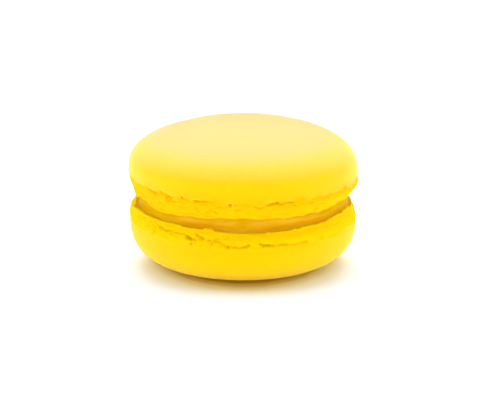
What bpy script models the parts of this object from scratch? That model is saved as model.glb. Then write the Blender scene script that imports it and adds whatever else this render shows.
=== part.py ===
# French macaron: two baked almond shells, each with a ruffled foot, and a cream filling between them.
# Run with: blender --background --python part.py
# Metres, +Z up, resting on z = 0. The front is at -Y, and angles run anticlockwise from +X.

from math import asin, atan2, cos, hypot, pi, radians, sin

import bmesh
import bpy

mm = 0.001
sides = 116            # facets around each piece
domeRings = 8          # rings from a shell's rim to its crown
ringCrowding = 1.4     # above 1, the dome's rings crowd towards the rim, where it curves most
firstFootRing = 0.35   # how far the foot's first ring is above its edge, in ring steps
gap = 0.3 * mm         # clearance between pieces that touch
ruffleStart = 0.15     # the ruffles swell from this part of a half wave at the edge to nothing at the rim
scallop = 0.6          # how much of a billow also shows in the height of the foot's edge

lowerFaceHeight = 11.6 * mm   # the lower shell's baked face, in its flat middle
upperFaceHeight = 14.1 * mm   # the upper shell's baked face, in its flat middle
faceRadius = 15 * mm          # how far the flat middle of both baked faces reaches

# A shell is described as it was baked: its flat face down at height 0, then the foot, then the dome.
# footHeight is the height of the rim, where the rough foot ends and the smooth dome begins.
# footRadii are the foot's outer radii at equal steps from the baked face up to the rim.
# edgeLifts and rimLifts move the foot's edge and its rim away from the baked face, or towards it
# where negative, in millimetres at 16 equal steps around. Steps 8, 12 and 0 are left, front and right.
# A billow is (waves around, size in millimetres, phase in degrees, degrees it leans from edge to rim).
upperShell = {
    "radius": 22.4 * mm,
    "footHeight": 4.0 * mm,
    "crownHeight": 13.6 * mm,
    "crownFlat": 0.0,
    "roundness": 2.2,
    "fullness": 2.95,
    "edgeRadius": 20.7 * mm,
    "footRadii": [21.1 * mm, 21.6 * mm, 21.8 * mm, 22.0 * mm, 22.1 * mm],
    "edgeLifts": [0.3, 0.1, 0.0, 0.2, 0.0, -0.2, 0.1, 0.0,
                  -0.2, 0.2, -0.6, 0.0, 0.2, 0.0, 0.0, 0.4],
    "rimLifts": [-0.5, -0.2, 0.0, 0.1, 0.2, 0.2, 0.3, 0.3,
                 0.4, 0.5, 0.5, 0.1, -0.5, 0.0, -0.1, -0.3],
    "tilt": 0.15,
    "billows": [(1, 0.25, 0, 0), (9, 0.12, 40, 70), (17, 0.12, 200, -120), (29, 0.10, 90, 160)],
}
lowerShell = {
    "radius": 22.15 * mm,
    "footHeight": 3.1 * mm,
    "crownHeight": 11.6 * mm,
    "crownFlat": 10 * mm,
    "roundness": 5.0,
    "fullness": 2.15,
    "edgeRadius": 21.0 * mm,
    "footRadii": [21.4 * mm, 21.85 * mm, 22.1 * mm, 22.1 * mm, 21.95 * mm],
    "edgeLifts": [-0.3, -0.4, -0.3, -0.2, -0.4, -0.3, -0.5, -0.6,
                  -0.6, -0.5, -0.4, -0.4, 0.2, -0.1, -0.3, -0.6],
    "rimLifts": [0.1, 0.0, 0.1, 0.0, 0.1, 0.0, -0.1, -0.2,
                 -0.3, -0.4, -0.3, 0.1, 0.1, 0.1, -0.1, -0.1],
    "tilt": 0.0,
    "billows": [(7, 0.10, 10, -60), (19, 0.12, 150, 110), (31, 0.10, 250, -150)],
}

# The filling follows both baked faces. Its side bulges from the shoulders, past the corners, to its
# full radius half-way up. A wave is (waves around, size in millimetres, phase in degrees).
fillingRadius = 20.9 * mm
fillingCorner = 20.6 * mm
fillingShoulder = 20.1 * mm
cornerShare = 0.12     # height of a corner above the face, as a share of the filling's thickness
fillingWaves = [(3, 0.10, 60), (8, 0.10, 200), (13, 0.08, 20)]


def clamp(value):
    return min(max(value, 0.0), 1.0)


def smooth(value):
    share = clamp(value)
    return share * share * (3 - 2 * share)


def mix(first, second, share):
    return first + (second - first) * share


def around(values, angle):
    """A smooth closed curve through values set at equal steps around the piece."""
    place = (angle / (2 * pi)) % 1 * len(values)
    step = int(place)
    return mix(values[step % len(values)], values[(step + 1) % len(values)], smooth(place - step))


def slopeRadius(edge):
    """The middle of the sloping outer part of a face."""
    return (faceRadius + edge) / 2


def domePoints(shell):
    """Radius and height from the rim to the crown: a quarter of a superellipse, cut off by any flat crown."""
    rise = shell["crownHeight"] - shell["footHeight"]
    lastTurn = asin((shell["crownFlat"] / shell["radius"]) ** (shell["roundness"] / 2))
    points = []
    for ring in range(domeRings):
        turn = mix(pi / 2, lastTurn, (ring / domeRings) ** ringCrowding)
        radius = shell["radius"] * sin(turn) ** (2 / shell["roundness"])
        fullness = (cos(turn) / cos(lastTurn)) ** (2 / shell["fullness"])
        points.append((radius, shell["footHeight"] + rise * fullness))
    if shell["crownFlat"]:
        points.append((shell["crownFlat"], shell["crownHeight"]))
    points.append((0.0, shell["crownHeight"]))
    return points


def shellProfile(shell):
    """Half the shell's section, from the middle of its baked face, round the foot and up to the crown."""
    edge = shell["edgeRadius"]
    points = [(0.0, 0.0), (faceRadius, 0.0), (slopeRadius(edge), 0.0), (edge, 0.0)]
    step = shell["footHeight"] / len(shell["footRadii"])
    for ring, radius in enumerate(shell["footRadii"]):
        points.append((radius, step * (ring + firstFootRing)))
    return points + domePoints(shell)


def faceLift(shell, radius, angle):
    """How far the baked face rises: nothing in its flat middle, and all of the edge's lift at its edge."""
    reach = smooth((radius - faceRadius) / (shell["edgeRadius"] - faceRadius))
    return around(shell["edgeLifts"], angle) * mm * reach


def shapeShell(shell, radius, height, angle):
    """Moves a point of the plain turned shell: uneven edge and rim, ruffled foot, slightly tilted dome."""
    share = clamp(height / shell["footHeight"])
    above = clamp((height - shell["footHeight"]) / (shell["crownHeight"] - shell["footHeight"]))
    lift = (1 - share) * faceLift(shell, radius, angle)
    lift += share * (1 - above) ** 2 * around(shell["rimLifts"], angle) * mm
    lift -= sin(radians(shell["tilt"])) * radius * cos(angle) * share
    ruffle = 0.0
    for waves, size, phase, lean in shell["billows"]:
        ruffle += size * mm * cos(waves * angle + radians(phase + lean * share))
    if 0 < height < shell["footHeight"]:
        radius += ruffle * sin(pi * mix(ruffleStart, 1.0, share))
        lift -= ruffle * scallop * (1 - share)
    return radius, height + lift


def fillingProfile():
    """Half the filling's section, with height running from 0 at its underside to 1 at its top."""
    lower = [(0.0, 0.0), (faceRadius, 0.0), (slopeRadius(fillingShoulder), 0.0), (fillingShoulder, 0.0)]
    lower.append((fillingCorner, cornerShare))
    upper = [(radius, 1 - height) for radius, height in reversed(lower)]
    return lower + [(fillingRadius, 0.5)] + upper


def shapeFilling(radius, height, angle):
    """Fits the filling between the two baked faces and gives its bulging side a slight waviness."""
    bottom = lowerFaceHeight - faceLift(lowerShell, radius, angle) + gap
    top = upperFaceHeight + faceLift(upperShell, radius, angle) - gap
    if radius > slopeRadius(fillingShoulder):
        radius += sum(size * mm * cos(waves * angle + radians(phase)) for waves, size, phase in fillingWaves)
    return radius, mix(bottom, top, height)


def turned(name, profile, shape, material):
    """A closed solid: the profile spun about Z, with each point then moved by shape."""
    solid = bmesh.new()
    points = [solid.verts.new((radius, 0.0, height)) for radius, height in profile]
    edges = [solid.edges.new(pair) for pair in zip(points, points[1:])]
    bmesh.ops.spin(solid, geom=points + edges, axis=(0, 0, 1), angle=2 * pi, steps=sides, use_merge=True)
    bmesh.ops.remove_doubles(solid, verts=solid.verts, dist=0.001 * mm)
    for vertex in solid.verts:
        angle = atan2(vertex.co.y, vertex.co.x)
        radius, height = shape(hypot(vertex.co.x, vertex.co.y), vertex.co.z, angle)
        vertex.co = (radius * cos(angle), radius * sin(angle), height)
    solid.normal_update()
    bmesh.ops.recalc_face_normals(solid, faces=solid.faces)
    mesh = bpy.data.meshes.new(name)
    solid.to_mesh(mesh)
    solid.free()
    mesh.shade_smooth()
    mesh.set_sharp_from_angle(angle=radians(50))
    mesh.materials.append(material)
    bpy.data.collections["french_macaron"].objects.link(bpy.data.objects.new(name, mesh))


def makeMaterial(name, colour, roughness):
    material = bpy.data.materials.new(name)
    material.use_nodes = True
    shader = material.node_tree.nodes["Principled BSDF"]
    shader.inputs["Base Color"].default_value = (*colour, 1)
    shader.inputs["Roughness"].default_value = roughness
    shader.inputs["Metallic"].default_value = 0
    return material


def placeUpper(radius, height, angle):
    radius, height = shapeShell(upperShell, radius, height, angle)
    return radius, upperFaceHeight + height


def placeLower(radius, height, angle):
    """The lower shell is turned over, with its dome down."""
    radius, height = shapeShell(lowerShell, radius, height, angle)
    return radius, lowerFaceHeight - height


for old in list(bpy.data.objects):
    bpy.data.objects.remove(old, do_unlink=True)
bpy.context.scene.collection.children.link(bpy.data.collections.new("french_macaron"))

shellYellow = (1.0, 0.66, 0.02)
creamBrown = (0.80, 0.40, 0.04)
turned("lower_shell", shellProfile(lowerShell), placeLower, makeMaterial("lower_shell", shellYellow, 0.7))
turned("filling", fillingProfile(), shapeFilling, makeMaterial("filling", creamBrown, 0.4))
turned("upper_shell", shellProfile(upperShell), placeUpper, makeMaterial("upper_shell", shellYellow, 0.7))
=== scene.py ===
# French macaron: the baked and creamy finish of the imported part, on a plain pale floor.
from math import cos, pi, radians, sin

import bpy
import numpy as np
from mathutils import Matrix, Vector


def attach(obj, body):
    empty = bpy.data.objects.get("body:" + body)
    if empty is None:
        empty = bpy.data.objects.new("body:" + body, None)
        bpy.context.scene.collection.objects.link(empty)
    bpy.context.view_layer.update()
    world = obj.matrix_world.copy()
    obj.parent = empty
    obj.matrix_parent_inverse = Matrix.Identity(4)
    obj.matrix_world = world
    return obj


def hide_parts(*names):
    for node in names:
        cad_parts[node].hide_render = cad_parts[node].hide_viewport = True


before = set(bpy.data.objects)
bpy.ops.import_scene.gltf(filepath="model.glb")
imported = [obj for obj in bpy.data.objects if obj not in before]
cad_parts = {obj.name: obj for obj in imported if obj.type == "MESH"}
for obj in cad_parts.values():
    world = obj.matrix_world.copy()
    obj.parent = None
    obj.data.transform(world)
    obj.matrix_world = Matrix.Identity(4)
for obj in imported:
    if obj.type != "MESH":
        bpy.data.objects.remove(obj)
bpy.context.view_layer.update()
print("frame loaded")

mm = 0.001
upperFaceHeight = 14.1 * mm   # flat middle of the upper shell's baked face
lowerFaceHeight = 11.6 * mm   # flat middle of the lower shell's baked face
faceRadius = 15 * mm          # how far the flat middle of both baked faces reaches
pointsAround = 720            # points in every ring of the three pieces


# A number from 0 to 1 for each whole-numbered cell, from mixing the bits of its three counts and a seed,
# so that every run gives the same crumb.
def cellNumber(cells, seed):
    bits = (cells[..., 0] * 73856093) ^ (cells[..., 1] * 19349663) ^ (cells[..., 2] * 83492791)
    bits = bits ^ (seed * 2654435)
    for factor in (1274126177, 668265263):
        bits = ((bits ^ (bits >> 15)) * factor) & 0x7FFFFFFF
    return ((bits ^ (bits >> 13)) & 0xFFFFF) / 0xFFFFF


# Smooth noise from -1 to 1: cell numbers at the eight corners round each point, blended by distance.
def noise(points, size, seed):
    place = points / size
    cell = np.floor(place).astype(np.int64)
    part = place - cell
    part = part * part * (3 - 2 * part)
    total = 0.0
    for corner in np.ndindex(2, 2, 2):
        weight = np.prod(np.where(corner, part, 1 - part), axis=-1)
        total = total + weight * cellNumber(cell + np.array(corner), seed)
    return total * 2 - 1


# Noise over several sizes, each half as large and half as strong as the one before.
def layeredNoise(points, size, seed, layers):
    total = 0.0
    for layer in range(layers):
        total = total + noise(points, size / 2 ** layer, seed + layer) / 2 ** layer
    return total


# One scattered centre in each cell: distance from a point to the nearest centre, in cells, and that
# centre's own number from 0 to 1.
def nearestCentre(points, size, seed):
    place = points / size
    cell = np.floor(place).astype(np.int64)
    nearest = np.full(points.shape[:-1], 9.0)
    number = np.zeros(points.shape[:-1])
    for step in np.ndindex(3, 3, 3):
        other = cell + np.array(step) - 1
        centre = other + np.stack([cellNumber(other, seed + axis) for axis in (1, 2, 3)], axis=-1)
        distance = np.linalg.norm(place - centre, axis=-1)
        closer = distance < nearest
        nearest = np.where(closer, distance, nearest)
        number = np.where(closer, cellNumber(other, seed + 4), number)
    return nearest, number


def clamp(value):
    return np.clip(value, 0.0, 1.0)


# An easy step from 0 to 1: three squares less two cubes.
def smooth(value):
    share = clamp(value)
    return share * share * (3 - 2 * share)


def mix(first, second, share):
    return first + (second - first) * share


# A smooth closed curve through values set at equal steps around, as in the part's own solids.
def around(values, angle):
    place = (angle / (2 * pi)) % 1 * len(values)
    step = np.floor(place).astype(int)
    listed = np.array(values)
    return mix(listed[step % len(values)], listed[(step + 1) % len(values)], smooth(place - step))


# Points from radius, angle and height.
def turned(radius, angle, height):
    return np.stack([radius * np.cos(angle), radius * np.sin(angle), height], axis=-1)


# Distance on the foot's wall, in metres, from a mark at an angle in degrees and a height in millimetres.
def distanceOnWall(shell, angle, height, markAngle, markHeight):
    turn = (angle - radians(markAngle) + pi) % (2 * pi) - pi
    return np.hypot(turn * shell["radius"], height - markHeight * mm)


# Heights run from the baked face to the crown, as the shell was baked. Lifts are in millimetres at 16
# equal steps around. Pits are (angle, height, radius, depth) and cracks are (width, depth, places), with
# each place an (angle, height); their heights are millimetres above the rest surface.
upperShell = {
    "radius": 22.4 * mm,
    "footHeight": 4.0 * mm,
    "crownHeight": 13.6 * mm,
    "crownFlat": 0.0,
    "roundness": 2.2,
    "fullness": 2.95,
    "edgeRadius": 20.7 * mm,
    "footBase": 20.9 * mm,
    "footTop": 22.4 * mm,
    "footCurve": 1.9,
    "footBulge": 0.0,
    "edgeLifts": [0.1, 0.1, 0.0, 0.2, 0.0, -0.2, 0.0, -0.3,
                  -0.8, 0.5, -0.5, 0.0, 0.2, 0.0, 0.0, 0.4],
    "rimLifts": [-0.5, -0.2, 0.0, 0.1, 0.2, 0.2, 0.3, 0.3,
                 0.4, 0.5, 0.5, 0.1, -0.5, 0.0, -0.1, -0.3],
    "baseMoves": [0.0, 0.0, 0.0, 0.0, 0.0, 0.0, 0.0, 0.0,
                  0.05, 0.0, 0.0, 0.0, 0.0, 0.0, 0.0, 0.0],
    "crownLifts": [-0.1, -0.18, -0.1, 0.0, 0.0, -0.1, -0.4, -0.2,
                   0.0, 0.0, 0.0, 0.0, 0.0, 0.0, 0.0, 0.0],
    "tilt": 0.15,
    "shift": 0.25 * mm,
    "faceHeight": upperFaceHeight,
    "upright": 1,
    "seed": 11,
    "relief": [0.8, 0.8, 0.8, 0.8, 0.8, 0.8, 0.8, 0.8,
               0.8, 0.8, 0.8, 0.75, 0.65, 0.7, 0.75, 0.8],
    "markStrength": 1.3,
    "pits": [(264, 17.2, 0.28, 0.38), (239, 18.0, 0.22, 0.30), (268, 16.5, 0.20, 0.20), (267, 17.2, 0.18, 0.15),
             (220, 17.6, 0.35, 0.25), (318, 17.8, 0.40, 0.20), (316, 17.7, 0.30, 0.15), (331, 17.9, 0.35, 0.22)],
    "cracks": [(0.25, 0.18, [(215, 18.4), (219, 17.7), (222, 17.6)]),
               (0.20, 0.22, [(226, 18.5), (226, 17.9)]),
               (0.22, 0.26, [(228, 17.5), (232, 17.5)]),
               (0.20, 0.20, [(230, 16.9), (234, 17.0)]),
               (0.25, 0.24, [(246, 17.6), (250, 17.9), (255, 18.0)]),
               (0.22, 0.18, [(251, 15.4), (253, 16.0), (255, 16.1), (257, 15.5)]),
               (0.20, 0.15, [(276, 17.2), (277.5, 16.9), (279, 16.7), (281, 17.2), (284, 17.6), (287, 17.6)]),
               (0.28, 0.10, [(283, 17.6), (287, 17.8)]),
               (0.18, 0.20, [(287, 17.5), (292, 17.3), (295, 17.2), (296.5, 16.6)]),
               (0.20, 0.08, [(275, 15.2), (283, 15.1)])],
}
lowerShell = {
    "radius": 22.15 * mm,
    "footHeight": 3.1 * mm,
    "crownHeight": 11.6 * mm,
    "crownFlat": 13 * mm,
    "roundness": 4.5,
    "fullness": 2.2,
    "edgeRadius": 21.0 * mm,
    "footBase": 21.1 * mm,
    "footTop": 22.15 * mm,
    "footCurve": 2.5,
    "footBulge": 0.05 * mm,
    "edgeLifts": [-0.6, -0.5, -0.3, -0.2, -0.4, -0.3, -0.5, -0.4,
                  -0.2, -0.65, -0.45, -0.55, -0.05, -0.2, -0.35, -0.95],
    "rimLifts": [0.1, 0.0, 0.1, 0.0, 0.1, 0.0, -0.1, -0.2,
                 -0.3, -0.4, -0.3, 0.1, 0.1, 0.1, -0.1, -0.1],
    "baseMoves": [-0.25, -0.1, 0.0, 0.0, 0.0, 0.0, 0.1, 0.3,
                  0.7, 0.3, 0.0, 0.0, 0.0, 0.0, 0.0, -0.1],
    "crownLifts": [0.0],
    "tilt": 0.0,
    "shift": 0.0,
    "faceHeight": lowerFaceHeight,
    "upright": -1,
    "seed": 47,
    "relief": [0.7, 0.7, 0.8, 0.8, 0.8, 0.8, 0.8, 0.8,
               0.7, 0.7, 0.7, 0.7, 0.55, 0.4, 0.35, 0.5],
    "markStrength": 1.15,
    "pits": [(244, 9.2, 0.26, 0.30), (253, 10.0, 0.40, 0.18), (256, 10.0, 0.40, 0.18), (254.5, 9.4, 0.35, 0.22),
             (257.5, 10.4, 0.22, 0.18), (273, 9.3, 0.22, 0.28), (313, 9.1, 0.40, 0.14)],
    "cracks": [(0.22, 0.12, [(212, 10.2), (214, 10.9), (218, 11.1), (220, 10.6), (220, 9.9), (219, 9.3)]),
               (0.22, 0.20, [(222, 11.1), (227, 10.6), (232, 10.6), (236, 10.8), (239, 10.7), (241, 10.2)]),
               (0.24, 0.38, [(241, 10.2), (243, 10.1), (246, 10.0)]),
               (0.22, 0.36, [(246, 10.8), (248, 10.5), (250, 10.3)]),
               (0.35, 0.16, [(258, 9.9), (262, 9.3)]),
               (0.28, 0.36, [(263, 9.05), (268, 8.95)]),
               (0.25, 0.38, [(269.5, 8.85), (271.5, 8.95)]),
               (0.22, 0.14, [(275.5, 8.85), (278, 8.8)]),
               (0.26, 0.36, [(279, 9.5), (281, 9.2), (285, 9.1)]),
               (0.32, 0.22, [(288, 9.15), (294, 9.1), (303, 9.0)]),
               (0.35, 0.10, [(303, 9.0), (310, 8.9)]),
               (0.40, 0.07, [(316, 9.1), (327, 8.8)])],
}
shellRings = {"face": 7, "corner": 9, "foot": 44, "dome": 60, "flat": 4}
cornerSize = 0.4 * mm
pitDeepening = 1.3     # marks are baked a little deeper and wider than they are listed
crackWidening = 1.25

# The foot's crumb, the same on both shells. Strengths and strays are in millimetres.
crumbFinish = {
    "bendSize": 1.7 * mm,
    "bend": 0.5 * mm,          # how far billows and lumps are bent out of true
    "squash": 1.35,            # how much wider than high they are
    "billowSize": 2.3 * mm,
    "billows": 0.38,
    "lumpSize": 1.0 * mm,
    "lumps": 0.20,
    "holeSize": 0.9 * mm,
    "holes": 0.30,
    "holeFrom": 0.72,          # centres numbered above this are bubble holes
    "grainSize": 0.55 * mm,
    "grain": 0.07,
    "straySize": 0.9 * mm,
    "stray": 0.22,             # how far a mark strays from its listed place
    "waverSize": 0.7 * mm,
    "waver": 0.6,              # how unevenly deep a mark is
}

# Slight unevenness of both shells: how far each line strays, and over what size.
unevenness = {
    "edge": (0.16 * mm, 1.6 * mm),
    "rim": (0.10 * mm, 2.5 * mm),
    "dome": (0.06 * mm, 9 * mm),
    "crustLine": (0.45, 2.2 * mm),
}


# Radius of the foot's wall: it leaves its base outwards and turns straight up where it meets the dome.
def wallRadius(shell, share):
    return (mix(shell["footBase"], shell["footTop"], 1 - (1 - share) ** shell["footCurve"])
            + shell["footBulge"] * np.sin(pi * share))


# Radius and height along half the section: flat face, rounded corner, foot wall, then the dome, whose
# outline is a quarter of a superellipse.
def shellSection(shell):
    face = np.linspace(0.0, 1.0, shellRings["face"], endpoint=False)
    turn = np.linspace(0.0, 1.0, shellRings["corner"], endpoint=False) * pi / 2
    share = mix(cornerSize / shell["footHeight"], 1.0, np.linspace(0.0, 1.0, shellRings["foot"], endpoint=False))
    wall = wallRadius(shell, share)
    corner = wall[0] - cornerSize + cornerSize * np.sin(turn)
    lastTurn = np.arcsin((shell["crownFlat"] / shell["radius"]) ** (shell["roundness"] / 2))
    domeTurn = mix(pi / 2, lastTurn, np.linspace(0.0, 1.0, shellRings["dome"]) ** 1.5)
    domeRadius = shell["radius"] * np.sin(domeTurn) ** (2 / shell["roundness"])
    domeShare = (np.abs(np.cos(domeTurn)) / np.cos(lastTurn)) ** (2 / shell["fullness"])
    flat = np.linspace(shell["crownFlat"], 0.0, shellRings["flat"] + 1)[1:]
    radius = np.concatenate([face * (wall[0] - cornerSize), corner, wall, domeRadius, flat])
    height = np.concatenate([face * 0, cornerSize * (1 - np.cos(turn)), share * shell["footHeight"],
                             mix(shell["footHeight"], shell["crownHeight"], domeShare),
                             flat * 0 + shell["crownHeight"]])
    return radius, height


# How far the baked face rises: nothing in its flat middle, and all of the edge's lift at its edge.
def faceLift(shell, radius, angle):
    reach = smooth((radius - faceRadius) / (shell["edgeRadius"] - faceRadius))
    return around(shell["edgeLifts"], angle) * mm * reach


# Depth of the listed marks, in millimetres: a bell-shaped hollow round each pit's middle and round
# the line through each crack's places.
def markDepth(shell, angle, height):
    total = np.zeros(angle.shape)
    for markAngle, markHeight, size, depth in shell["pits"]:
        away = distanceOnWall(shell, angle, height, markAngle, markHeight)
        total += pitDeepening * depth * np.exp(-(away / (size * mm)) ** 2)
    for width, depth, places in shell["cracks"]:
        fine = np.linspace(0, len(places) - 1, 8 * len(places))
        steps = np.arange(len(places))
        lineAngles = np.interp(fine, steps, [place[0] for place in places])
        lineHeights = np.interp(fine, steps, [place[1] for place in places])
        away = np.full(angle.shape, 1.0)
        for markAngle, markHeight in zip(lineAngles, lineHeights):
            away = np.minimum(away, distanceOnWall(shell, angle, height, markAngle, markHeight))
        total += depth * np.exp(-(away / (crackWidening * width * mm)) ** 2)
    return total


# Relief of a baked foot, in millimetres outwards: rounded billows with sharp valleys between them, smaller
# lumps, scattered bubble holes and grain, less the listed marks. Also returns how deep a hollow is,
# from 0 to 1.
def footRelief(shell, points, angle, share):
    seed = shell["seed"]
    bend = np.stack([noise(points, crumbFinish["bendSize"], seed + axis) for axis in (20, 21, 22)], axis=-1)
    warped = points * np.array([1.0, 1.0, crumbFinish["squash"]]) + crumbFinish["bend"] * bend
    billows = np.abs(noise(warped, crumbFinish["billowSize"], seed)) ** 0.7
    lumps = np.abs(noise(warped, crumbFinish["lumpSize"], seed + 5)) ** 0.8
    distance, number = nearestCentre(warped, crumbFinish["holeSize"], seed + 30)
    holes = smooth(1 - distance / mix(0.25, 0.5, number)) * (number > crumbFinish["holeFrom"])
    crumb = crumbFinish["billows"] * (billows - 0.5) + crumbFinish["lumps"] * (lumps - 0.5)
    crumb -= crumbFinish["holes"] * holes
    crumb += crumbFinish["grain"] * layeredNoise(points, crumbFinish["grainSize"], seed + 40, 3)
    crumb *= around(shell["relief"], angle) * smooth(share * 4) * mix(1.0, 0.45, smooth((share - 0.75) * 4))
    strays = [layeredNoise(points, crumbFinish["straySize"], seed + axis, 2) for axis in (50, 53)]
    stray = np.stack(strays, axis=-1) * crumbFinish["stray"] * mm
    marks = markDepth(shell, angle + stray[..., 0] / shell["radius"], points[..., 2] + stray[..., 1])
    waver = crumbFinish["waver"] * noise(points, crumbFinish["waverSize"], seed + 56)
    marks *= shell["markStrength"] * (1 + waver)
    # The second value, how deep a hollow is, is the mask for the painted shade in the crust's hollows.
    return crumb - marks, clamp(clamp((-crumb - 0.12) / 0.6) + marks / 0.5)


# Layered noise as strong and as large as the unevenness named.
def uneven(kind, points, seed, layers):
    stray, size = unevenness[kind]
    return stray * layeredNoise(points, size, seed, layers)


# The whole shell on a grid of rings by angles. Rings keep the section's radius and height, moved by the
# edge and rim lifts, the tilt and the foot's relief; the dome gets a very slight unevenness. Also returns
# how much of the foot's crust shows and how deep a hollow is, each from 0 to 1.
def shellSurface(shell):
    seed = shell["seed"]
    sectionRadius, sectionHeight = shellSection(shell)
    angle = np.linspace(0, 2 * pi, pointsAround, endpoint=False)
    radius, angle = np.meshgrid(sectionRadius, angle, indexing="ij")
    height = np.repeat(sectionHeight[:, None], pointsAround, axis=1)
    onFace = (np.arange(len(sectionRadius)) < shellRings["face"])[:, None]
    share = clamp(height / shell["footHeight"])
    above = clamp((height - shell["footHeight"]) / (shell["crownHeight"] - shell["footHeight"]))
    flatPlace = turned(radius, angle, height * 0)
    lift = (1 - share) * faceLift(shell, radius, angle)
    lift += share * (1 - above) ** 2 * around(shell["rimLifts"], angle) * mm
    lift -= sin(radians(shell["tilt"])) * radius * np.cos(angle) * share
    lift += uneven("edge", flatPlace, seed + 60, 2) * ~onFace * (1 - share) ** 1.5
    lift += uneven("rim", flatPlace, seed + 62, 2) * smooth(share * 3 - 2) * (1 - above) ** 8
    lift += 4 * above * (1 - above) * around(shell["crownLifts"], angle) * mm
    radius = radius + shell["shift"] * np.cos(angle) * np.sin(pi * share) * (above == 0)
    radius = radius + (1 - share) ** 2 * around(shell["baseMoves"], angle) * mm * ~onFace
    raised = shell["faceHeight"] + shell["upright"] * (height + lift)
    points = turned(radius, angle, raised)
    pastRim = (height - shell["footHeight"]) / mm + uneven("crustLine", points, seed + 80, 2)
    relief, hollowShade = footRelief(shell, points, angle, share)
    fade = smooth(0.5 - (height - shell["footHeight"]) / (1.2 * mm)) * ~onFace
    sway = uneven("dome", points, seed + 70, 3) * smooth(above * 4) * (1 - above ** 6)
    moved = radius + relief * fade * mm
    placed = turned(moved, angle, raised + shell["upright"] * sway)
    crust = smooth(0.5 - pastRim / 1.7)
    # How deep a hollow is sets the painted shade in the crust's hollows, faded out over the rim.
    return placed, {"crust": crust, "hollowShade": hollowShade * fade}


# Radii, flares, the orange of the painted shade underneath and the smears, partly painted highlight, are at 16
# equal steps around. Flares are how far it spreads where it sits on the lower shell. Radii, flares, waves and
# lumps are in millimetres.
filling = {
    "radii": [20.6, 20.9, 21.0, 20.9, 20.8, 20.9, 21.0, 20.8,
              20.45, 20.8, 21.0, 21.05, 21.1, 21.05, 20.9, 20.8],
    "inside": 19.8 * mm,       # where its flat faces end and its side begins
    "bulge": 0.35 * mm,
    "roundness": 0.4,
    "lean": 0.3 * mm,          # how much further in its top is than its bottom
    "flares": [1.0, 0.8, 0.65, 0.65, 0.65, 0.65, 0.65, 1.0,
               1.5, 0.9, 0.65, 0.65, 0.65, 0.65, 0.65, 0.75],
    # painted shade: how much darker and more orange its lower part is, at each step round
    "paintedShadeUnder": [0.6, 0.5, 0.5, 0.5, 0.5, 0.5, 0.5, 0.6,
                    0.8, 0.7, 0.3, 1.0, 0.5, 0.9, 1.0, 0.8],
    # paleness round it: partly the cream's own smears, partly painted highlight on the side facing the front lamp
    "smearsAndPaintedHighlight": [0.1, 0.4, 0.5, 0.5, 0.5, 0.5, 0.5, 0.4,
               0.0, 0.0, 0.15, 1.0, 1.0, 1.0, 1.0, 0.15],
    "smearSize": 3.2 * mm,
    "waves": 0.07,             # how far its side moves with the smears and with small lumps
    "lumpSize": 1.8 * mm,
    "lumps": 0.05,
    "overlap": 0.25 * mm,      # how far it reaches into both shells
    "seed": 83,
}
fillingRings = {"face": 10, "side": 44}


# A disc between the two baked faces, reaching just into both. Its side is a half wave bulging outwards,
# spread at its foot, with slow waves along it and smears that run round it. Also returns how pale it is,
# partly from smears and partly painted highlight, and how much painted shade darkens its lower part, each from 0
# to 1.
def fillingSurface():
    inner = np.linspace(0.0, 1.0, fillingRings["face"], endpoint=False) * filling["inside"]
    side = np.linspace(0.0, 1.0, fillingRings["side"])
    radius = np.concatenate([inner, side * 0 + filling["inside"], inner[::-1]])
    share = np.concatenate([inner * 0, side, inner * 0 + 1])
    onSide = np.concatenate([inner * 0, side * 0 + 1, inner * 0])
    angle = np.linspace(0, 2 * pi, pointsAround, endpoint=False)
    radius, angle = np.meshgrid(radius, angle, indexing="ij")
    share = np.repeat(share[:, None], pointsAround, axis=1)
    onSide = np.repeat(onSide[:, None], pointsAround, axis=1)
    outer = around(filling["radii"], angle) * mm - filling["bulge"]
    rounded = filling["bulge"] * np.sin(pi * share) ** filling["roundness"] - filling["lean"] * share
    rounded += around(filling["flares"], angle) * mm * (1 - share) ** 7
    radius = mix(radius, outer + rounded, onSide)
    bottom = lowerFaceHeight - faceLift(lowerShell, radius, angle) - filling["overlap"]
    top = upperFaceHeight + faceLift(upperShell, radius, angle) + filling["overlap"]
    height = mix(bottom, top, share)
    smeared = turned(radius, angle, height) * np.array([1.0, 1.0, 4.0])
    smear = layeredNoise(smeared, filling["smearSize"], filling["seed"], 3)
    lumps = layeredNoise(turned(radius, angle, height), filling["lumpSize"], filling["seed"] + 9, 3)
    moved = radius + (filling["waves"] * smear + filling["lumps"] * lumps) * mm * onSide
    # painted shade, darker and more orange towards the filling's bottom
    shadeUnder = smooth((0.55 - share) * 5 + 0.4 * smear) * around(filling["paintedShadeUnder"], angle)
    # pale where the cream is smeared, and paler on the side facing the front lamp as painted highlight
    palenessAndPaintedHighlight = clamp(0.5 + 0.6 * smear) * around(filling["smearsAndPaintedHighlight"], angle)
    return turned(moved, angle, height), {"smear": palenessAndPaintedHighlight, "shadeUnder": shadeUnder}


# One row for each vertex from a grid of rings, whose first and last rings have shrunk to a point.
def vertexRows(grid):
    return np.concatenate([grid[0, :1], grid[1:-1].reshape(-1, *grid.shape[2:]), grid[-1, :1]])


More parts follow.
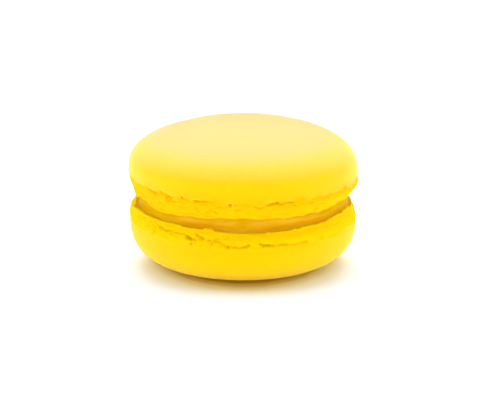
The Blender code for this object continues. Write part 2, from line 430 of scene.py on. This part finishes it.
# Quads between neighbouring rings, closed around, and a fan at each end. Fields are numbers from 0 to 1
# kept at each vertex for the materials.
def addSurface(name, points, fields, turnOver):
    rings, count = points.shape[:2]
    vertices = vertexRows(points)
    step = np.arange(count)
    after = (step + 1) % count
    start = 1 + np.arange(rings - 3)[:, None] * count
    quads = np.stack([start + step, start + after, start + count + after, start + count + step], axis=-1)
    last = 1 + (rings - 3) * count
    firstFan = np.stack([step * 0, 1 + after, 1 + step], axis=-1)
    lastFan = np.stack([step * 0 + len(vertices) - 1, last + step, last + after], axis=-1)
    loops = np.concatenate([firstFan.ravel(), quads.ravel(), lastFan.ravel()])
    sizes = np.concatenate([np.full(count, 3), np.full(count * (rings - 3), 4), np.full(count, 3)])
    mesh = bpy.data.meshes.new(name)
    mesh.vertices.add(len(vertices))
    mesh.vertices.foreach_set("co", vertices.ravel())
    mesh.loops.add(len(loops))
    mesh.loops.foreach_set("vertex_index", loops)
    mesh.polygons.add(len(sizes))
    mesh.polygons.foreach_set("loop_start", np.concatenate([[0], np.cumsum(sizes)[:-1]]))
    mesh.update(calc_edges=True)
    mesh.validate()
    if turnOver:
        mesh.flip_normals()
    mesh.shade_smooth()
    for field, grid in fields.items():
        mesh.attributes.new(field, "FLOAT", "POINT").data.foreach_set("value", vertexRows(grid).astype(np.float32))
    piece = bpy.data.objects.new(name, mesh)
    bpy.context.scene.collection.objects.link(piece)
    return piece


# A shader node group with named sockets. Inputs and outputs are (name, socket type, first value).
def newGroup(name, inputs, outputs):
    tree = bpy.data.node_groups.new(name, "ShaderNodeTree")
    for direction, sockets in (("INPUT", inputs), ("OUTPUT", outputs)):
        for label, kind, value in sockets:
            socket = tree.interface.new_socket(name=label, in_out=direction, socket_type=kind)
            if value is not None:
                socket.default_value = value
    return tree, tree.nodes.new("NodeGroupInput"), tree.nodes.new("NodeGroupOutput")


def maths(tree, operation, first, second):
    node = tree.nodes.new("ShaderNodeMath")
    node.operation = operation
    for socket, value in zip(node.inputs, (first, second)):
        if isinstance(value, (int, float)):
            socket.default_value = value
        else:
            tree.links.new(value, socket)
    return node.outputs["Value"]


def noiseTexture(tree, vector, scale, detail):
    node = tree.nodes.new("ShaderNodeTexNoise")
    node.inputs["Detail"].default_value = detail
    tree.links.new(vector, node.inputs["Vector"])
    if isinstance(scale, (int, float)):
        node.inputs["Scale"].default_value = scale
    else:
        tree.links.new(scale, node.inputs["Scale"])
    return node.outputs["Fac"]


def mixColour(tree, share, first, second, blend="MIX"):
    node = tree.nodes.new("ShaderNodeMix")
    node.data_type = "RGBA"
    node.blend_type = blend
    for label, value in (("Factor", share), ("A", first), ("B", second)):
        socket = [each for each in node.inputs if each.name == label and each.enabled][0]
        if isinstance(value, tuple):
            socket.default_value = (*value, 1)
        elif isinstance(value, (int, float)):
            socket.default_value = value
        else:
            tree.links.new(value, socket)
    return [each for each in node.outputs if each.enabled][0]


# Fine grain: a noise at the given scale with half as much of another three times finer, as a height.
def makeGrain():
    tree, source, result = newGroup("fineGrain", [("Vector", "NodeSocketVector", None),
                                                  ("Scale", "NodeSocketFloat", 3000.0)],
                                    [("Height", "NodeSocketFloat", None)])
    coarse = noiseTexture(tree, source.outputs["Vector"], source.outputs["Scale"], 2.0)
    finer = maths(tree, "MULTIPLY", source.outputs["Scale"], 3.1)
    fine = noiseTexture(tree, source.outputs["Vector"], finer, 1.0)
    half = maths(tree, "MULTIPLY", fine, 0.5)
    tree.links.new(maths(tree, "ADD", coarse, half), result.inputs["Height"])
    return tree


# Mottling: the colour times a noise that runs from one less its strength to one more its strength.
def makeMottle():
    tree, source, result = newGroup("mottling", [("Vector", "NodeSocketVector", None),
                                                 ("Colour", "NodeSocketColor", None),
                                                 ("Scale", "NodeSocketFloat", 600.0),
                                                 ("Strength", "NodeSocketFloat", 0.05)],
                                    [("Colour", "NodeSocketColor", None)])
    patches = noiseTexture(tree, source.outputs["Vector"], source.outputs["Scale"], 3.0)
    centred = maths(tree, "MULTIPLY", maths(tree, "SUBTRACT", patches, 0.5), 2.0)
    factor = maths(tree, "ADD", maths(tree, "MULTIPLY", centred, source.outputs["Strength"]), 1.0)
    tree.links.new(mixColour(tree, 1.0, source.outputs["Colour"], factor, "MULTIPLY"), result.inputs["Colour"])
    return tree


grainGroup = makeGrain()
mottleGroup = makeMottle()


def newMaterial(name):
    material = bpy.data.materials.new(name)
    material.use_nodes = True
    tree = material.node_tree
    place = tree.nodes.new("ShaderNodeTexCoord")
    return material, tree, tree.nodes["Principled BSDF"], place.outputs["Object"]


def field(tree, name):
    node = tree.nodes.new("ShaderNodeAttribute")
    node.attribute_name = name
    return node.outputs["Fac"]


def addGrain(tree, shader, place, scale, depth):
    grain = tree.nodes.new("ShaderNodeGroup")
    grain.node_tree = grainGroup
    grain.inputs["Scale"].default_value = scale
    tree.links.new(place, grain.inputs["Vector"])
    bump = tree.nodes.new("ShaderNodeBump")
    bump.inputs["Distance"].default_value = depth
    tree.links.new(grain.outputs["Height"], bump.inputs["Height"])
    tree.links.new(bump.outputs["Normal"], shader.inputs["Normal"])


def addMottle(tree, place, colour, scale, strength):
    mottle = tree.nodes.new("ShaderNodeGroup")
    mottle.node_tree = mottleGroup
    mottle.inputs["Scale"].default_value = scale
    mottle.inputs["Strength"].default_value = strength
    tree.links.new(place, mottle.inputs["Vector"])
    tree.links.new(colour, mottle.inputs["Colour"])
    return mottle.outputs["Colour"]


# Height over the rest surface in millimetres, and the skin's colour there. The deep yellow is the skin's own;
# the paler, bluer top is painted sheen, and the greener band above the rim and the less green top are painted
# light and shade.
skinColoursWithPaintedSheen = [(2.0, (0.81, 0.525, 0.0)), (8.0, (0.81, 0.53, 0.0)), (18.0, (0.81, 0.52, 0.0)),
               (20.8, (0.81, 0.58, 0.002)), (23.2, (0.81, 0.61, 0.065)), (26.2, (0.81, 0.525, 0.150))]
skinReach = 28 * mm
upperFinish = {
    "name": "upper",
    "foot": (0.84, 0.46, 0.0),
    # colour of the painted shade in the foot's hollows
    "hollowShade": (0.65, 0.41, 0.0),
    "sheen": 0.34,
    "footSheen": 0.03,
    "gloss": 0.40,
    "glow": 2 * mm,        # how far light travels inside the skin, and inside the foot
    "footGlow": 0.6 * mm,
}
lowerFinish = {
    "name": "lower",
    # painted light: this foot's crust is lighter than the upper one's, offsetting the shade under the filling and
    # upper shell
    "foot": (0.86, 0.575, 0.0),
    "hollowShade": (0.66, 0.43, 0.0),
    "sheen": 0.24,
    "footSheen": 0.02,
    "gloss": 0.20,
    # colour of the painted shade in the foot's hollows
    "glow": 4 * mm,
    "footGlow": 0.6 * mm,
}
# What both shells share. Grain and mottling are (scale, depth or strength).
skinFinish = {
    "roughness": 0.55,
    "mottle": (500, 0.03),
    "grain": (3500, 0.006 * mm),
    "bend": 1.45,              # index of refraction
    "shineTint": (1.0, 0.75, 0.0, 1),
}
crustFinish = {
    "roughness": 0.9,
    "mottle": (900, 0.03),
    "grain": (5000, 0.03 * mm),
    "shine": 0.05,
}
shellGlow = {"weight": 0.8, "colours": (1.0, 0.8, 0.25), "sheenRoughness": 0.5}
crustFrom = 0.85       # faces with more crust than this wear the crust's material


# Colours blended smoothly along a length: each (millimetres, colour) is met at its own length.
def colourAlong(tree, length, colours, reach):
    ramp = tree.nodes.new("ShaderNodeValToRGB")
    ramp.color_ramp.interpolation = "EASE"
    stops = ramp.color_ramp.elements
    while len(stops) < len(colours):
        stops.new(1.0)
    for stop, (level, colour) in zip(stops, colours):
        stop.position = level * mm / reach
        stop.color = (*colour, 1)
    tree.links.new(maths(tree, "DIVIDE", length, reach), ramp.inputs["Fac"])
    return ramp.outputs["Color"]


# Skin of the crown: its colour by height, with painted sheen on its top and painted light and shade along its
# height.
def skinColourWithPaintedSheen(tree, place):
    axes = tree.nodes.new("ShaderNodeSeparateXYZ")
    tree.links.new(place, axes.inputs["Vector"])
    return colourAlong(tree, axes.outputs["Z"], skinColoursWithPaintedSheen, skinReach)


# Both finishes of a shell share one colour: the skin's fades into the crust's over the rim, and hollows in the
# crust get painted shade, a darker and browner colour. Crust is matt, and skin has a soft sheen.
def makeShellMaterial(finish, crusty):
    kind = "foot" if crusty else "skin"
    scale, depth = (crustFinish if crusty else skinFinish)["grain"]
    material, tree, shader, place = newMaterial(finish["name"] + "_" + kind)
    crust = field(tree, "crust")
    baked = mixColour(tree, field(tree, "hollowShade"), finish["foot"], finish["hollowShade"])
    baked = addMottle(tree, place, baked, *crustFinish["mottle"])
    skin = addMottle(tree, place, skinColourWithPaintedSheen(tree, place), *skinFinish["mottle"])
    tree.links.new(mixColour(tree, crust, skin, baked), shader.inputs["Base Color"])
    rough = maths(tree, "MULTIPLY", crust, crustFinish["roughness"] - skinFinish["roughness"])
    tree.links.new(maths(tree, "ADD", rough, skinFinish["roughness"]), shader.inputs["Roughness"])
    addGrain(tree, shader, place, scale, depth)
    if crusty:
        shader.inputs["Specular IOR Level"].default_value = crustFinish["shine"]
        shader.inputs["Sheen Weight"].default_value = finish["footSheen"]
    else:
        shader.inputs["IOR"].default_value = skinFinish["bend"]
        shader.inputs["Specular IOR Level"].default_value = finish["gloss"]
        shader.inputs["Specular Tint"].default_value = skinFinish["shineTint"]
        shader.inputs["Sheen Weight"].default_value = finish["sheen"]
    shader.inputs["Sheen Roughness"].default_value = shellGlow["sheenRoughness"]
    shader.inputs["Subsurface Weight"].default_value = shellGlow["weight"]
    shader.inputs["Subsurface Radius"].default_value = shellGlow["colours"]
    shader.inputs["Subsurface Scale"].default_value = finish["footGlow" if crusty else "glow"]
    return material


creamFinish = {
    "dark": (0.64, 0.36, 0.001),
    # the pale colour serves both the smears and the painted highlight
    "pale": (0.72, 0.44, 0.045),
    # colour of the painted shade on the filling's lower part
    "shadeUnder": (0.66, 0.30, 0.0),
    "roughness": 0.45,
    "mottle": (700, 0.05),
    "grain": (2500, 0.01 * mm),
    "shine": 0.02,
    "shineTint": (1.0, 0.6, 0.0, 1),
    "glowWeight": 0.8,
    "glowColours": (1.0, 0.5, 0.1),
    "glow": 1.5 * mm,
}


# Buttery filling: darker and paler smears round it, the paler ones partly painted highlight, painted shade on
# its lower part, a satin shine, and light that sinks in.
def makeCream():
    material, tree, shader, place = newMaterial("cream")
    colour = mixColour(tree, field(tree, "smear"), creamFinish["dark"], creamFinish["pale"])
    colour = mixColour(tree, field(tree, "shadeUnder"), colour, creamFinish["shadeUnder"])
    tree.links.new(addMottle(tree, place, colour, *creamFinish["mottle"]), shader.inputs["Base Color"])
    addGrain(tree, shader, place, *creamFinish["grain"])
    shader.inputs["Roughness"].default_value = creamFinish["roughness"]
    shader.inputs["Specular IOR Level"].default_value = creamFinish["shine"]
    shader.inputs["Specular Tint"].default_value = creamFinish["shineTint"]
    shader.inputs["Subsurface Weight"].default_value = creamFinish["glowWeight"]
    shader.inputs["Subsurface Radius"].default_value = creamFinish["glowColours"]
    shader.inputs["Subsurface Scale"].default_value = creamFinish["glow"]
    return material


# Dome faces above the ragged edge of the crust wear the skin, and the rest wears the crust.
def addShell(name, shell, finish, node):
    points, fields = shellSurface(shell)
    piece = addSurface(name, points, fields, shell["upright"] < 0)
    for crusty in (False, True):
        piece.data.materials.append(makeShellMaterial(finish, crusty))
    crust = fields["crust"]
    crusty = np.concatenate([crust[0], crust[1:-2].ravel(), crust[-2]]) > crustFrom
    piece.data.polygons.foreach_set("material_index", crusty.astype(np.int32))
    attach(piece, "root")
    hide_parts(node)
    print(name, "made")


addShell("upper_shell_baked", upperShell, upperFinish, "upper_shell")
addShell("lower_shell_baked", lowerShell, lowerFinish, "lower_shell")
creamPoints, creamFields = fillingSurface()
creamPiece = addSurface("filling_cream", creamPoints, creamFields, False)
creamPiece.data.materials.append(makeCream())
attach(creamPiece, "root")
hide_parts("filling")
print("filling_cream made")

floorFinish = {
    "size": 6.0,
    "bounced": (1.22, 1.22, 0.35),   # how much light it passes on to the macaron
    # its colour in view, by distance from the macaron's middle in millimetres, sideways ones stretched: a painted
    #     # shadow, dark and warm close round the macaron and fading to white further out
    "seenWithPaintedShadow": [(15.0, (0.54, 0.36, 0.10)), (17.0, (0.81, 0.70, 0.45)), (19.2, (0.91, 0.93, 0.91)),
             (22.0, (0.93, 1.01, 1.15)), (25.5, (0.94, 1.03, 1.22))],
    "stretch": (1.2, 1.0, 1.0),
    "reach": 30 * mm,
    "glow": (1.0, 1.0, 0.1),       # colour and strength of its own light under the macaron
    "glowStrength": 0.06,
}


def makeFloor():
    mesh = bpy.data.meshes.new("floor")
    half = floorFinish["size"] / 2
    corners = [(-half, -half, 0), (half, -half, 0), (half, half, 0), (-half, half, 0)]
    mesh.from_pydata(corners, [], [(0, 1, 2, 3)])
    floor = bpy.data.objects.new("floor", mesh)
    bpy.context.scene.collection.objects.link(floor)
    material = bpy.data.materials.new("pale_floor_with_painted_shadow")
    material.use_nodes = True
    tree = material.node_tree
    tree.nodes.remove(tree.nodes["Principled BSDF"])
    diffuse = tree.nodes.new("ShaderNodeBsdfDiffuse")
    path = tree.nodes.new("ShaderNodeLightPath")
    place = tree.nodes.new("ShaderNodeTexCoord")
    stretched = tree.nodes.new("ShaderNodeVectorMath")
    stretched.operation = "MULTIPLY"
    stretched.inputs[1].default_value = floorFinish["stretch"]
    tree.links.new(place.outputs["Object"], stretched.inputs[0])
    away = tree.nodes.new("ShaderNodeVectorMath")
    away.operation = "LENGTH"
    tree.links.new(stretched.outputs["Vector"], away.inputs[0])
    # painted shadow: the floor's colour in view darkens and warms close round the macaron
    seenWithPaintedShadow = colourAlong(tree, away.outputs["Value"], floorFinish["seenWithPaintedShadow"], floorFinish["reach"])
    colour = mixColour(tree, path.outputs["Is Camera Ray"], floorFinish["bounced"], seenWithPaintedShadow)
    tree.links.new(colour, diffuse.inputs["Color"])
    glow = tree.nodes.new("ShaderNodeEmission")
    glow.inputs["Color"].default_value = (*floorFinish["glow"], 1)
    unseen = maths(tree, "SUBTRACT", 1.0, path.outputs["Is Camera Ray"])
    tree.links.new(maths(tree, "MULTIPLY", unseen, floorFinish["glowStrength"]), glow.inputs["Strength"])
    both = tree.nodes.new("ShaderNodeAddShader")
    tree.links.new(diffuse.outputs["BSDF"], both.inputs[0])
    tree.links.new(glow.outputs["Emission"], both.inputs[1])
    tree.links.new(both.outputs["Shader"], tree.nodes["Material Output"].inputs["Surface"])
    mesh.materials.append(material)


# Big soft panels: name, direction in degrees round from +X and up from the floor, side and distance in
# metres, power in watts, and colour.
studio = {
    "surroundings": 0.037,
    "panels": [("back_panel", 90, 50, 1.2, 1.3, 8.8, (1, 1, 1)),
               ("top_panel", 90, 70, 1.2, 1.3, 12.6, (1, 1, 1)),
               ("left_panel", 180, 46, 1.0, 1.3, 7.0, (1, 1, 1)),
               ("right_panel", 0, 46, 1.0, 1.3, 7.0, (1, 1, 1)),
               ("front_panel", 270, 12, 0.3, 1.3, 7.7, (1, 0.93, 0.6))],
}


def makeLight():
    world = bpy.data.worlds.new("soft_studio")
    world.use_nodes = True
    background = world.node_tree.nodes["Background"]
    background.inputs["Color"].default_value = (1, 1, 1, 1)
    background.inputs["Strength"].default_value = studio["surroundings"]
    bpy.context.scene.world = world
    for name, turn, rise, side, distance, power, colour in studio["panels"]:
        light = bpy.data.lights.new(name, "AREA")
        light.size = side
        light.energy = power
        light.color = colour
        panel = bpy.data.objects.new(name, light)
        turn, rise = radians(turn), radians(rise)
        direction = Vector((cos(turn) * cos(rise), sin(turn) * cos(rise), sin(rise)))
        panel.location = direction * distance
        panel.rotation_euler = direction.to_track_quat("Z", "Y").to_euler()
        bpy.context.scene.collection.objects.link(panel)


camera = {
    "elevation": 15.5,
    "distance": 0.6,
    "lens": 222.6,
    "sensor": 36,
    "aim": (0.88 * mm, 0.0, 12.5 * mm),
    "drop": 0.28 * mm,
}


def makeCamera():
    lift = radians(camera["elevation"])
    away = Vector((0.0, -cos(lift), sin(lift))) * camera["distance"]
    upwards = Vector((0.0, sin(lift), cos(lift)))
    data = bpy.data.cameras.new("camera")
    data.lens = camera["lens"]
    data.sensor_width = camera["sensor"]
    data.clip_start = 0.01
    eye = bpy.data.objects.new("camera", data)
    eye.location = Vector(camera["aim"]) + away - upwards * camera["drop"]
    eye.rotation_euler = (pi / 2 - lift, 0, 0)
    bpy.context.scene.collection.objects.link(eye)
    bpy.context.scene.camera = eye


makeFloor()
makeLight()
makeCamera()
bpy.context.scene.view_settings.view_transform = "Standard"
print("studio ready")
